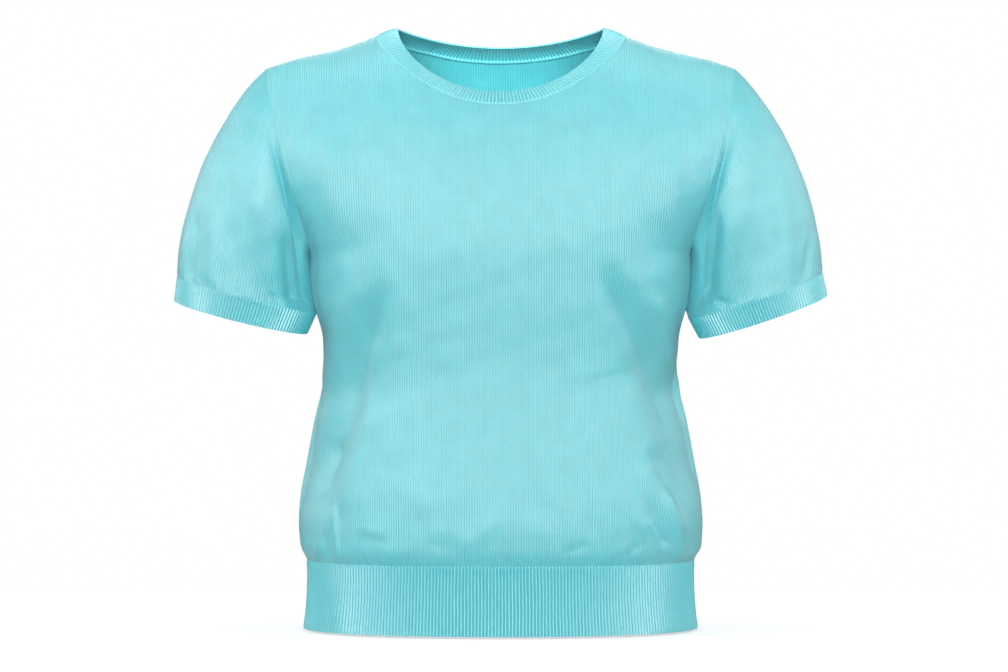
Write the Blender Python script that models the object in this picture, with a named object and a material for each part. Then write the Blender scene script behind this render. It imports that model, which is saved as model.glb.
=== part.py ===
"""Short-sleeve knitted jumper with a ribbed neckband, cuffs and hem, filled out as when it is worn.

Metres, +Z up, the front faces -Y and the wearer's left is at +X. The origin lies midway between the
two shoulder neck points, where the shoulders carry the garment. Each knitted piece is a thin wall:
its outer points follow the worn form and its inner points lie one wall thickness inside.
"""

import math

import bpy
import numpy as np

WALL = 0.0020
SEAM_GAP = 0.0003
RIB_HEIGHT = 0.0007

HEM_BOTTOM = -0.5265
HEM_TOP = -0.4670
HEM_FLARE = 1.018
UNDERARM_HEIGHT = -0.1980
NECK_HALF_WIDTH = 0.1105
NECK_POINT_HEIGHT = -0.0079
EDGE_HALF_WIDTH = 0.0903
FRONT_NECK_DROP = 0.0657
BACK_NECK_DROP = 0.0185
FRONT_EDGE_DROP = 0.0612
BACK_EDGE_DROP = 0.0137
FRONT_EDGE_REACH = 0.85
BACK_EDGE_REACH = 0.74
NECKBAND_BULGE = 0.0012

# Shape of each half of the neckline and of the neckband's edge: the drop at a share s of the half
# width is its drop at the centre times (1 - s ** first) ** second.
FRONT_NECK_SHAPE = (1.7, 0.5)
BACK_NECK_SHAPE = (2.0, 0.8)
FRONT_EDGE_SHAPE = (1.6, 0.5)
BACK_EDGE_SHAPE = (2.0, 1.0)

# Squareness of the sections above the underarm: at the shoulder, and how much more at the underarm.
SHOULDER_SQUARENESS = 2.2
UNDERARM_EXTRA_SQUARENESS = 0.4
LEAST_SIDE_SLOPE = 0.5

HEM_RIBS_PER_PANEL = 160
NECK_RIBS = 168
CUFF_RIBS = 110
OUTER_PER_INNER = 4

NECK_COLUMNS = 8
SHOULDER_COLUMNS = 5
NECK_SWEEP = 5
EDGE_PULL = 2.5
SIDE_ROWS = 11
ARMHOLE_ROWS = 11
SLEEVE_ROWS = 9
NECKBAND_ROWS = 3

# The body from the hem band up to the underarm: height, half width, how far the front and the back
# reach from the side seam, and how square the section is (2 is an ellipse).
BODY_SECTIONS = (
    (-0.4670, 0.1700, 0.1110, 0.1030, 2.30),
    (-0.4590, 0.1746, 0.1165, 0.1085, 2.30),
    (-0.4450, 0.1770, 0.1190, 0.1110, 2.30),
    (-0.4150, 0.1764, 0.1185, 0.1095, 2.30),
    (-0.3800, 0.1703, 0.1140, 0.1020, 2.30),
    (-0.3450, 0.1637, 0.1090, 0.0950, 2.30),
    (-0.3100, 0.1560, 0.1065, 0.0915, 2.35),
    (-0.2750, 0.1555, 0.1085, 0.0925, 2.45),
    (-0.2400, 0.1600, 0.1125, 0.0970, 2.55),
    (-0.1980, 0.1665, 0.1150, 0.1020, 2.60),
)

# The shoulder line: distance from the centre and height. Inside the neckline it only guides the
# slope of the chest and the back.
SHOULDER_LINE = (
    (0.0000, 0.0120),
    (0.0500, 0.0080),
    (0.0903, -0.0005),
    (0.1105, -0.0079),
    (0.1378, -0.0176),
    (0.1659, -0.0246),
    (0.1860, -0.0292),
    (0.2065, -0.0360),
    (0.2450, -0.0500),
)

# The armhole, from the underarm up to the shoulder line: rise (0 to 1), distance from the centre,
# and how far it lies forward or back as a share of the panel's depth at that height.
ARMHOLE = (
    (0.000, 0.1665, 0.00, 0.00),
    (0.010, 0.1668, 0.19, 0.21),
    (0.045, 0.1685, 0.36, 0.39),
    (0.120, 0.1745, 0.50, 0.52),
    (0.225, 0.1830, 0.59, 0.60),
    (0.345, 0.1905, 0.63, 0.64),
    (0.490, 0.1975, 0.62, 0.64),
    (0.680, 0.2030, 0.58, 0.60),
    (1.000, 0.2065, 0.56, 0.58),
)

# Each sleeve: name, side, its middle's distance from the centre, height and half width at the cuff's
# top and then at the cuff's edge, and how far the cuff leans out, in degrees.
SLEEVES = (
    ("left", 1, (0.2252, -0.2340, 0.0608), (0.2309, -0.2538, 0.0594), 18.6),
    ("right", -1, (0.2227, -0.2336, 0.0635), (0.2285, -0.2543, 0.0602), 14.0),
)
CUFF_HALF_DEPTH = 0.0530
CUFF_FRONT_DIP = 0.08
SLEEVE_FULLNESS = 0.90
CAP_SLOPE = 42.0
UNDERARM_SLOPE = 57.0
SLEEVE_SWELL = 0.16

# Folds fade out between these two distances from the centre.
FOLD_FADE_START = 0.163
FOLD_FADE_END = 0.185

# Soft folds of the panels: panel, start (x, z), end (x, z), half width and height. A negative
# height is a trough.
FOLDS = (
    ("front", -0.110, -0.245, -0.143, -0.345, 0.014, -0.0065),
    ("front", -0.134, -0.250, -0.152, -0.300, 0.011, 0.0030),
    ("front", -0.128, -0.360, -0.160, -0.440, 0.014, 0.0040),
    ("front", 0.112, -0.245, 0.145, -0.320, 0.014, -0.0065),
    ("front", 0.137, -0.250, 0.152, -0.295, 0.011, 0.0030),
    ("front", 0.124, -0.385, 0.160, -0.445, 0.014, 0.0040),
    ("back", -0.115, -0.250, -0.145, -0.335, 0.014, -0.0050),
    ("back", 0.108, -0.245, 0.140, -0.350, 0.014, -0.0050),
    ("back", -0.050, -0.345, 0.045, -0.352, 0.013, -0.0035),
    ("back", 0.128, -0.370, 0.158, -0.440, 0.014, 0.0040),
)

KNIT_COLOUR = (0.17, 0.60, 0.66, 1.0)
RIB_COLOUR = (0.15, 0.57, 0.63, 1.0)


def spline(table, position):
    """Values of a table's other columns at a position in its first column, as a smooth curve."""
    rows = np.array(table, float)
    knots, values = rows[:, 0], rows[:, 1:]
    slopes = np.gradient(values, knots, axis=0)
    position = np.clip(np.asarray(position, float), knots[0], knots[-1])
    index = np.clip(np.searchsorted(knots, position) - 1, 0, len(knots) - 2)
    step = (knots[index + 1] - knots[index])[..., None]
    t = (position - knots[index])[..., None] / step
    start = (1 + 2 * t) * (1 - t) ** 2 * values[index] + t * (1 - t) ** 2 * step * slopes[index]
    end = t * t * (3 - 2 * t) * values[index + 1] + t * t * (t - 1) * step * slopes[index + 1]
    return start + end


def unit(vectors):
    return vectors / np.linalg.norm(vectors, axis=-1, keepdims=True)


def shoulder_height(x):
    return spline(SHOULDER_LINE, np.abs(x))[..., 0]


class Panel:
    """One half of the body. A point of its surface has an angle round the body, from the centre (0)
    to the side seam, and a level: 0 to 1 from the hem band to the underarm, 1 to 2 from there to
    the shoulder line."""

    def __init__(self, name, facing):
        self.name = name
        self.facing = facing
        self.reach_column = 1 if facing < 0 else 2
        share_column = 2 if facing < 0 else 3
        rows = np.array(ARMHOLE)
        rise, out, share = rows[:, 0], rows[:, 1], rows[:, share_column]
        square = self.upper_squareness(rise)
        self.form_width = np.column_stack([rise, out / (1 - share**square) ** (1 / square)])
        depth = self.underarm_reach() * np.cos(rise * math.pi / 2)
        height = UNDERARM_HEIGHT + (shoulder_height(out) - UNDERARM_HEIGHT) * np.sin(rise * math.pi / 2)
        path = np.column_stack([out, share * depth, height])
        length = np.concatenate([[0], np.cumsum(np.linalg.norm(np.diff(path, axis=0), axis=1))])
        self.armhole_by_length = np.column_stack([length / length[-1], rise, out])

    def underarm_reach(self):
        return BODY_SECTIONS[-1][self.reach_column + 1]

    def upper_squareness(self, rise):
        return SHOULDER_SQUARENESS + UNDERARM_EXTRA_SQUARENESS * (1 - rise) ** 4

    def form(self, level):
        """Half width, depth and squareness of the body at each level."""
        low = np.clip(level, 0, 1)
        rise = np.clip(level - 1, 0, 1)
        section = spline(BODY_SECTIONS, HEM_TOP + low * (UNDERARM_HEIGHT - HEM_TOP))
        upper = level > 1
        width = np.where(upper, spline(self.form_width, rise)[..., 0], section[..., 0])
        depth = section[..., self.reach_column] * np.cos(rise * math.pi / 2)
        square = np.where(upper, self.upper_squareness(rise), section[..., 3])
        return width, depth, square

    def surface(self, angle, level):
        width, depth, square = self.form(level)
        across = np.clip(np.abs(np.sin(angle)), 0, 1)
        x = width * np.sin(angle)
        y = self.facing * depth * (1 - across**square) ** (1 / square)
        low = HEM_TOP + np.clip(level, 0, 1) * (UNDERARM_HEIGHT - HEM_TOP)
        rise = np.sin(np.clip(level - 1, 0, 1) * math.pi / 2)
        z = low + (shoulder_height(x) - UNDERARM_HEIGHT) * rise
        return np.stack([x, y, z], axis=-1)

    def normal(self, angle, level):
        step = 1e-4
        right = np.minimum(angle + step, math.pi / 2)
        left = np.maximum(angle - step, -math.pi / 2)
        across = self.surface(right, level) - self.surface(left, level)
        up_level = np.minimum(level + step, 2)
        up = self.surface(angle, up_level) - self.surface(angle, level - step)
        return unit(np.cross(across, up)) * -self.facing

    def edge(self, share):
        """Angle and level of the panel's side edge: the side seam, then the armhole."""
        seam_share = SIDE_ROWS / (SIDE_ROWS + ARMHOLE_ROWS)
        if share <= seam_share:
            return math.pi / 2, share / seam_share
        rise, out = spline(self.armhole_by_length, (share - seam_share) / (1 - seam_share))
        width = self.form(np.array(1 + rise))[0]
        return math.asin(min(1, float(out / width))), 1 + float(rise)

    def neck_height(self, x):
        share = np.abs(x) / NECK_HALF_WIDTH
        if self.facing < 0:
            return NECK_POINT_HEIGHT - neck_curve(share, FRONT_NECK_DROP, FRONT_NECK_SHAPE)
        return NECK_POINT_HEIGHT - neck_curve(share, BACK_NECK_DROP, BACK_NECK_SHAPE)

    def top_level(self, angle):
        """Level of the neckline at an angle, found by halving."""
        low, high = 1.0, 2.0
        for _ in range(40):
            middle = (low + high) / 2
            point = self.surface(np.array(angle), np.array(middle))
            if point[2] < self.neck_height(point[0]):
                low = middle
            else:
                high = middle
        return high

    def grid(self):
        """Angle and level of each point: a row for each height, a column from right to left."""
        end_angle = self.edge(1)[0]
        top_width = float(self.form(np.array(2.0))[0])
        neck_share = math.asin(NECK_HALF_WIDTH / top_width) / end_angle
        neck = np.linspace(0, neck_share, 81)
        neck_tops = np.array([self.top_level(share * end_angle) for share in neck])
        line = self.surface(neck * end_angle, neck_tops)
        length = np.concatenate([[0], np.cumsum(np.linalg.norm(np.diff(line, axis=0), axis=1))])
        in_neck = np.interp(np.linspace(0, length[-1], NECK_COLUMNS + 1), length, neck)
        on_shoulder = np.linspace(neck_share, 1, SHOULDER_COLUMNS + 1)
        gathered = np.concatenate([in_neck, on_shoulder[1:]])
        even = np.linspace(0, 1, len(gathered))
        tops = [self.top_level(share * end_angle) for share in in_neck[:-1]]
        tops = np.array(tops + [2.0] * (SHOULDER_COLUMNS + 1))
        rows = SIDE_ROWS + ARMHOLE_ROWS
        angles, levels = [], []
        for row in range(rows + 1):
            share = row / rows
            edge_angle, edge_level = self.edge(share)
            across = even + (gathered - even) * share**NECK_SWEEP
            pull = across**EDGE_PULL
            angles.append(across * edge_angle)
            levels.append((1 - pull) * share * (2 - (2 - tops) * share) + pull * edge_level)
        angles, levels = np.array(angles), np.array(levels)
        angles = np.hstack([-angles[:, :0:-1], angles])
        levels = np.hstack([levels[:, :0:-1], levels])
        return angles, levels

    def fold_height(self, points):
        total = np.zeros(points.shape[:-1])
        for panel, x0, z0, x1, z1, half_width, height in FOLDS:
            if panel == self.name:
                total += soft_fold(points[..., 0], points[..., 2], (x0, z0), (x1, z1), half_width, height)
        off_side = FOLD_FADE_END - np.abs(points[..., 0])
        return total * np.clip(off_side / (FOLD_FADE_END - FOLD_FADE_START), 0, 1)

    def walls(self):
        """Outer and inner points, before the panel is moved off the side and shoulder seams."""
        angles, levels = self.grid()
        outer = self.surface(angles, levels)
        normal = self.normal(angles, levels)
        normal[:, 0] = side_normal(normal[:, 0], -1)
        normal[:, -1] = side_normal(normal[:, -1], 1)
        shoulder = [0, -1] + list(range(1, SHOULDER_COLUMNS + 1)) + list(range(-SHOULDER_COLUMNS - 1, -1))
        for column in shoulder:
            normal[-1, column, 1] = 0
        normal = unit(normal)
        outer = outer + normal * self.fold_height(outer)[..., None]
        for column, side in ((0, -1), (-1, 1)):
            for row in range(SIDE_ROWS, SIDE_ROWS + ARMHOLE_ROWS + 1):
                normal[row, column] = armhole_outward(outer[row, column], side)
        return outer, outer - normal * WALL


def neck_curve(share, drop, shape):
    """How far a curved neckline hangs below its ends, at a share of its half width."""
    return drop * (1 - np.clip(share, 0, 1) ** shape[0]) ** shape[1]


def side_normal(normal, side):
    """The wall's direction at a side seam, kept in the plane between the front and the back."""
    flat = normal * np.array([1, 0, 1])
    flat[:, 0] = side * np.maximum(np.abs(flat[:, 0]), LEAST_SIDE_SLOPE)
    return unit(flat)


def soft_fold(x, z, start, end, half_width, height):
    """Height of a fold at a point: a smooth bump across, fading out along its length."""
    along_x, along_z = end[0] - start[0], end[1] - start[1]
    length = math.hypot(along_x, along_z)
    along = ((x - start[0]) * along_x + (z - start[1]) * along_z) / length**2
    across = ((x - start[0]) * along_z - (z - start[1]) * along_x) / length
    beyond = np.maximum(np.abs(along - 0.5) - 0.3, 0) / 0.35
    return height * np.exp(-((across / half_width) ** 2) - beyond**2 * 2)


def armhole_frame(side):
    """Middle of the armhole, its upward direction and the direction out along the sleeve."""
    top = np.array([side * ARMHOLE[-1][1], 0, float(shoulder_height(np.array(ARMHOLE[-1][1])))])
    bottom = np.array([side * ARMHOLE[0][1], 0, UNDERARM_HEIGHT])
    up = unit(top - bottom)
    out = np.array([side * up[2], 0, -side * up[0]])
    return (top + bottom) / 2, up, out


def armhole_outward(point, side):
    middle, up, _ = armhole_frame(side)
    offset = point - middle
    return unit(np.dot(offset, up) * up + np.array([0, offset[1], 0]))


def add_piece(name, outer, inner, closed, colour, roughness):
    """A wall between two grids of points. The inner grid may have fewer columns: each of its steps
    then faces several of the outer grid's."""
    rows, wide = outer.shape[:2]
    narrow = inner.shape[1]
    step = wide // narrow if closed else (wide - 1) // (narrow - 1)
    first_inner = rows * wide
    faces = []
    for row in range(rows - 1):
        for c in range(wide if closed else wide - 1):
            d = (c + 1) % wide
            faces.append((row * wide + c, row * wide + d, (row + 1) * wide + d, (row + 1) * wide + c))
        for c in range(narrow if closed else narrow - 1):
            d = (c + 1) % narrow
            a, b = first_inner + row * narrow, first_inner + (row + 1) * narrow
            faces.append((a + d, a + c, b + c, b + d))
    for row in (0, rows - 1):
        for c in range(narrow if closed else narrow - 1):
            here = first_inner + row * narrow + c
            after = first_inner + row * narrow + (c + 1) % narrow
            line = [row * wide + (c * step + k) % wide for k in range(step + 1)]
            rim = [(line[k + 1], line[k], here) for k in range(step)] + [(after, line[-1], here)]
            if step == 1:
                rim = [(line[1], line[0], here, after)]
            faces += rim if row == 0 else [face[::-1] for face in rim]
    if not closed:
        for row in range(rows - 1):
            a, b = row * wide, (row + 1) * wide
            p, q = first_inner + row * narrow, first_inner + (row + 1) * narrow
            faces.append((a, b, q, p))
            faces.append((b + wide - 1, a + wide - 1, p + narrow - 1, q + narrow - 1))
    points = np.concatenate([outer.reshape(-1, 3), inner.reshape(-1, 3)])
    mesh = bpy.data.meshes.new(name)
    mesh.from_pydata([tuple(p) for p in points], [], faces)
    corners = np.array([points[list(face[:3])] for face in faces])
    rest = np.array([points[[face[0], face[-2], face[-1]]] for face in faces if len(face) == 4])
    if np.linalg.det(corners).sum() + np.linalg.det(rest).sum() < 0:
        mesh.flip_normals()
    mesh.shade_smooth()
    mesh.set_sharp_from_angle(angle=math.radians(40))
    piece = bpy.data.objects.new(name, mesh)
    bpy.context.scene.collection.objects.link(piece)
    material = bpy.data.materials.new(name + "_knit")
    material.use_nodes = True
    shader = material.node_tree.nodes["Principled BSDF"]
    shader.inputs["Base Color"].default_value = colour
    shader.inputs["Roughness"].default_value = roughness
    shader.inputs["Metallic"].default_value = 0.0
    mesh.materials.append(material)
    return piece


def along(line, count, closed):
    """Positions evenly spaced along a line of points, as point index plus fraction."""
    path = np.vstack([line, line[:1]]) if closed else line
    length = np.concatenate([[0], np.cumsum(np.linalg.norm(np.diff(path, axis=0), axis=1))])
    wanted = np.linspace(0, length[-1], count + 1)
    if closed:
        wanted = wanted[:-1]
    return np.interp(wanted, length, np.arange(len(path)))


def pick(line, position, closed):
    """Points of a line of points at fractional positions, on its straight steps."""
    path = np.vstack([line, line[:1]]) if closed else line
    index = np.minimum(position.astype(int), len(path) - 2)
    share = (position - index)[:, None]
    return path[index] * (1 - share) + path[index + 1] * share


def ribbed_band(name, seam_outer, seam_inner, edge_outer, edge_inner, bulge, rows, ribs, closed):
    """A ribbed wall from a seam to a free edge. The lines give its outer and inner points at both
    ends; bulge rounds it out between them, and every other outer column is raised as a rib."""
    columns = ribs * 2
    fine = along(seam_outer, columns, closed)
    coarse = fine[::OUTER_PER_INNER]
    grids = []
    for position, seam, edge in ((fine, seam_outer, edge_outer), (coarse, seam_inner, edge_inner)):
        start, end = pick(seam, position, closed), pick(edge, position, closed)
        out = unit(pick(seam_outer - seam_inner + edge_outer - edge_inner, position, closed))
        grid = []
        for row in range(rows + 1):
            share = row / rows
            swell = bulge * 4 * share * (1 - share)
            grid.append(start + (end - start) * share + out * swell)
        grids.append(np.array(grid))
        if position is fine:
            raised = np.zeros(len(fine))
            raised[1::2] = RIB_HEIGHT
            grids[0] += out * raised[None, :, None]
    return add_piece(name, grids[0], grids[1], closed, RIB_COLOUR, 0.85)


def add_body():
    """The front and the back, with the hem band below each. Returns their wall points."""
    walls = {}
    for name, facing in (("front", -1), ("back", 1)):
        panel = Panel(name, facing)
        outer, inner = panel.walls()
        off_seam = np.array([0, facing * SEAM_GAP / 2, 0])
        add_piece(name, outer + off_seam, inner + off_seam, False, KNIT_COLOUR, 0.9)
        walls[name] = outer, inner
        down = np.array([0, 0, -SEAM_GAP])
        flare = np.array([HEM_FLARE, HEM_FLARE, 0])
        lines = []
        for line in (outer[0], inner[0]):
            start = line + off_seam + down
            start[:, 2] = HEM_TOP - SEAM_GAP
            end = line * flare + off_seam + np.array([0, 0, HEM_BOTTOM])
            lines.append((start, end))
        ribbed_band(
            "hem_" + name, lines[0][0], lines[1][0], lines[0][1], lines[1][1],
            0, 1, HEM_RIBS_PER_PANEL, False,
        )
    return walls


def add_neckband(walls):
    """The neckband: one ring of rib from the neckline seam up to the neck opening."""
    first, last = SHOULDER_COLUMNS, SHOULDER_COLUMNS + 2 * NECK_COLUMNS
    loops = []
    for k in (0, 1):
        front = walls["front"][k][-1, first:last]
        back = walls["back"][k][-1, last:first:-1]
        loops.append(np.vstack([front, back]))
    outer, inner = loops
    edge = outer.copy()
    edge[:, 0] = outer[:, 0] * EDGE_HALF_WIDTH / NECK_HALF_WIDTH
    share = np.abs(edge[:, 0]) / EDGE_HALF_WIDTH
    front_height = -neck_curve(share, FRONT_EDGE_DROP, FRONT_EDGE_SHAPE)
    back_height = -neck_curve(share, BACK_EDGE_DROP, BACK_EDGE_SHAPE)
    is_front = outer[:, 1] < 0
    edge[:, 1] = outer[:, 1] * np.where(is_front, FRONT_EDGE_REACH, BACK_EDGE_REACH)
    edge[:, 2] = np.where(is_front, front_height, back_height)
    rise = unit(edge - outer)
    tangent = unit(np.roll(outer, -1, axis=0) - np.roll(outer, 1, axis=0))
    out = unit(np.cross(rise, tangent))
    out *= np.sign(((outer - inner) * out).sum(axis=1))[:, None]
    start_outer = outer + rise * SEAM_GAP
    start_inner = inner + rise * SEAM_GAP
    ribbed_band(
        "neckband", start_outer, start_inner, edge, edge - out * WALL,
        NECKBAND_BULGE, NECKBAND_ROWS, NECK_RIBS, True,
    )


def downward(side, slope):
    """Direction outwards and down at a slope in degrees below the horizontal."""
    return np.array([side * math.cos(math.radians(slope)), 0, -math.sin(math.radians(slope))])


def cuff_ring(side, ring, lean, angles):
    """Points of a tilted ring, from its outermost point round by the front."""
    out_x, height, half_width = ring
    middle = np.array([side * out_x, 0, height])
    across = np.array([side * math.cos(lean), 0, math.sin(lean)])
    forward = np.array([0, -1, -CUFF_FRONT_DIP])
    cos, sin = np.cos(angles)[:, None], np.sin(angles)[:, None]
    points = middle + across * cos * half_width + forward * sin * CUFF_HALF_DEPTH
    out = unit(across * cos / half_width + forward * sin / CUFF_HALF_DEPTH)
    return points, out


def add_sleeve(walls, label, side, top, edge, lean):
    """One set-in sleeve, from the armhole to the cuff, and its ribbed cuff."""
    column = -1 if side > 0 else 0
    arm = slice(SIDE_ROWS, SIDE_ROWS + ARMHOLE_ROWS + 1)
    loops = []
    for k in (0, 1):
        front = walls["front"][k][arm, column][::-1]
        back = walls["back"][k][arm, column]
        loops.append(np.vstack([front, back[1:-1]]))
    seam_outer, seam_inner = loops
    _, _, out = armhole_frame(side)
    seam_outer = seam_outer + out * SEAM_GAP
    seam_inner = seam_inner + out * SEAM_GAP
    steps = np.linalg.norm(np.diff(np.vstack([seam_outer, seam_outer[:1]]), axis=0), axis=1)
    length = np.concatenate([[0], np.cumsum(steps)])
    half = ARMHOLE_ROWS
    front_share = length[: half + 1] / length[half]
    back_share = (length[half:-1] - length[half]) / (length[-1] - length[half])
    angles = math.pi * np.concatenate([front_share, 1 + back_share[1:]])
    lean = math.radians(lean)
    axis = np.array([side * math.sin(lean), 0, -math.cos(lean)])
    ring, ring_out = cuff_ring(side, top, lean, angles)

    top_share = (1 + np.cos(angles))[:, None] / 2
    cap, underarm = downward(side, CAP_SLOPE), downward(side, UNDERARM_SLOPE)
    start_direction = unit(top_share * cap + (1 - top_share) * underarm)
    start_direction[:, 1] -= SLEEVE_SWELL * np.sin(angles)
    end_direction = unit(top_share * np.array([0, 0, -1]) + (1 - top_share) * axis)
    span = np.linalg.norm(ring - seam_outer, axis=1)[:, None] * SLEEVE_FULLNESS
    start_pull, end_pull = start_direction * span, end_direction * span

    def sleeve_surface(share):
        a = (1 + 2 * share) * (1 - share) ** 2
        b = share * (1 - share) ** 2
        c = share * share * (3 - 2 * share)
        d = share * share * (share - 1)
        return a * seam_outer + b * start_pull + c * ring + d * end_pull

    outer, inner = [seam_outer], [seam_inner]
    for row in range(1, SLEEVE_ROWS + 1):
        share = row / SLEEVE_ROWS
        points = sleeve_surface(share)
        round_step = np.roll(points, -1, axis=0) - np.roll(points, 1, axis=0)
        down_step = sleeve_surface(min(share + 0.01, 1)) - sleeve_surface(share - 0.01)
        normal = unit(np.cross(round_step, down_step)) * side
        if row == SLEEVE_ROWS:
            normal = ring_out
        outer.append(points)
        inner.append(points - normal * WALL)
    outer, inner = np.array(outer), np.array(inner)
    add_piece("sleeve_" + label, outer, inner, True, KNIT_COLOUR, 0.9)

    cuff_start = axis * SEAM_GAP
    edge, edge_out = cuff_ring(side, edge, lean, angles)
    ribbed_band(
        "cuff_" + label, ring + cuff_start, inner[-1] + cuff_start, edge, edge - edge_out * WALL,
        0, 1, CUFF_RIBS, True,
    )


def main():
    for old in list(bpy.data.objects):
        bpy.data.objects.remove(old, do_unlink=True)
    walls = add_body()
    add_neckband(walls)
    for sleeve in SLEEVES:
        add_sleeve(walls, *sleeve)


main()
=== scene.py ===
"""Looks of the short-sleeve knitted jumper: fine shells of plain knit and of 1x1 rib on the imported
solids, with their seams, folds and knit texture, on a white floor under soft studio light.

Metres, +Z up, the front faces -Y and the wearer's left is at +X.
"""

import math
from collections import namedtuple

import bpy
import numpy as np
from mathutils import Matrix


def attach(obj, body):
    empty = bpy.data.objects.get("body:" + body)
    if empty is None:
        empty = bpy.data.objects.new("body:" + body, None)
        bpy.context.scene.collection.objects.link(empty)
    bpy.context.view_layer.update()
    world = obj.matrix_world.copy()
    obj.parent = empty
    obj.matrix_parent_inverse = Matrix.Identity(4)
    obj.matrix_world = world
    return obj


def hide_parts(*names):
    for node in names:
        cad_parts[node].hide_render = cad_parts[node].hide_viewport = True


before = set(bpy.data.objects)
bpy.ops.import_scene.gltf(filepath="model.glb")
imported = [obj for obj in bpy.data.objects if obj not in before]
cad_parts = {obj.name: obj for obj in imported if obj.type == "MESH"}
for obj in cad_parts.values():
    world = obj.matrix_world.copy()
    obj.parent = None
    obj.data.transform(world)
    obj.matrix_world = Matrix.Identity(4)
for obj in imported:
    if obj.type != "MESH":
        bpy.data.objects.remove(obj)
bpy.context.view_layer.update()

# ---------------------------------------------------------------- driving sizes of the garment
# Heights are measured from the neckband's edge at the shoulders.
WALL = 0.0018
SEAM_GAP = 0.00005

HEM_BOTTOM = -0.5265
HEM_TOP = -0.4670
HEM_FLARE = 1.018
UNDERARM_HEIGHT = -0.1980
NECK_HALF_WIDTH = 0.1105
NECK_POINT_HEIGHT = -0.0079
EDGE_HALF_WIDTH = 0.0903

# How far the neckband's edge reaches forward and back, as shares of its seam's reach.
FRONT_EDGE_REACH = 0.85
BACK_EDGE_REACH = 0.74

# Each half of the neckline and of the neckband's edge: its drop at the centre, and the power of its
# curve, which hangs by drop * (1 - s ** 2) ** power at a share s of its half width.
FRONT_NECK = (0.0657, 0.58)
BACK_NECK = (0.0185, 0.8)
FRONT_EDGE = (0.0612, 0.6)
BACK_EDGE = (0.0137, 1.0)

# How square the body's section is at the shoulder line, and how much squarer at the underarm.
SHOULDER_SQUARENESS = 2.2
UNDERARM_EXTRA_SQUARENESS = 0.4

# The least that the wall's direction at a side seam points sideways.
LEAST_SIDE_SLOPE = 0.5

# Fineness of the shells: columns of half a panel, rows up the side seam and the armhole and down a
# sleeve, outer steps for each inner one, and the angle in degrees from which an edge is sharp.
NECK_COLUMNS = 72
SHOULDER_COLUMNS = 48
SIDE_ROWS = 110
ARMHOLE_ROWS = 100
SLEEVE_ROWS = 110
COARSE_STEP = 4
SHARP_ANGLE = 60

# How late a panel's columns gather towards the neckline, and how near the side its rows bend.
NECK_SWEEP = 5
EDGE_PULL = 2.5

# Steps that measure the neckline and the knit, halvings that find the neckline, and the share of a
# sleeve's length over which its slope is measured.
NECK_STEPS = 400
GAUGE_STEPS = 16
HALVINGS = 40
SLOPE_STEP = 0.01

# Ribs: the steps that draw each one, their height and sharpness, how much closer the rows lie near
# the seam, the distance over which ribs rise there, and the share of their height at the free edge.
STEPS_PER_RIB = 6
RIB_HEIGHT = 0.0008
RIB_SHARPNESS = 1.2
RIB_ROW_CROWDING = 1.3
RIB_START = 0.0012
RIB_END_SHARE = 0.5

# The head of each rib beside the seam: how much higher it is, and how far from the seam.
RIB_HEAD = 0.25
RIB_HEAD_REACH = 0.0030

# Sway of the rib lines: share of the band's sway, and radians for each rib and from seam to edge.
RIB_SWAYS = ((1.0, 0.11, 2.5), (0.5, 0.37, 5.0))

# Lean of the hem's ribs near its ends: ribs gained from top to edge, where it is strongest (as a
# share of the panel's width, from right to left of the wearer) and how far it spreads.
HEM_FANS = ((-3.4, 0.13, 0.05), (1.8, 0.88, 0.05))

# The linking bead round the neckline: its width, and the distance from the seam where ribs begin.
BEAD_WIDTH = 0.00308
BEAD_RIBS_FROM = 0.0022

# The ribbed bands: how far each bulges out between seam and edge, its rows and ribs, whether it is a
# ring, by how many ribs its lines sway, the height of its bead, and how much wider its ribs lie
# where the seam runs front to back.
Band = namedtuple("Band", "bulge rows ribs closed sway bead side_stretch")
HEM_BAND = Band(bulge=-0.0014, rows=26, ribs=160, closed=False, sway=0.10, bead=0, side_stretch=0)
NECKBAND = Band(bulge=0.0012, rows=18, ribs=168, closed=True, sway=0.06, bead=0.0009, side_stretch=0.6)
CUFF_BAND = Band(bulge=0, rows=14, ribs=108, closed=True, sway=0.06, bead=0, side_stretch=0.5)

# Knit gauge: width of one wale, height of one course in plain knit and in rib, wales of a sleeve.
WALE = 0.0022
COURSE = 0.0016
RIB_COURSE = 0.0018
SLEEVE_WALES = 155

# The body from the hem band up to the underarm: height, half width, how far the front and the back
# reach from the side seam, and how square the section is (2 is an ellipse).
BODY_SECTIONS = (
    (-0.4670, 0.1700, 0.1128, 0.1048, 2.30),
    (-0.4590, 0.1746, 0.1170, 0.1090, 2.30),
    (-0.4450, 0.1770, 0.1190, 0.1110, 2.30),
    (-0.4150, 0.1764, 0.1185, 0.1095, 2.30),
    (-0.3800, 0.1703, 0.1146, 0.1020, 2.30),
    (-0.3450, 0.1637, 0.1110, 0.0950, 2.30),
    (-0.3100, 0.1560, 0.1090, 0.0915, 2.35),
    (-0.2750, 0.1558, 0.1100, 0.0925, 2.45),
    (-0.2400, 0.1644, 0.1125, 0.0970, 2.55),
    (-0.2200, 0.1668, 0.1138, 0.0996, 2.58),
    (-0.1980, 0.1665, 0.1150, 0.1020, 2.60),
)

# The shoulder line: distance from the centre and height.
SHOULDER_LINE = (
    (0.0000, 0.0120),
    (0.0500, 0.0080),
    (0.0903, -0.0005),
    (0.1105, -0.0079),
    (0.1378, -0.0176),
    (0.1659, -0.0246),
    (0.1860, -0.0292),
    (0.2065, -0.0360),
    (0.2450, -0.0500),
)

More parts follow.
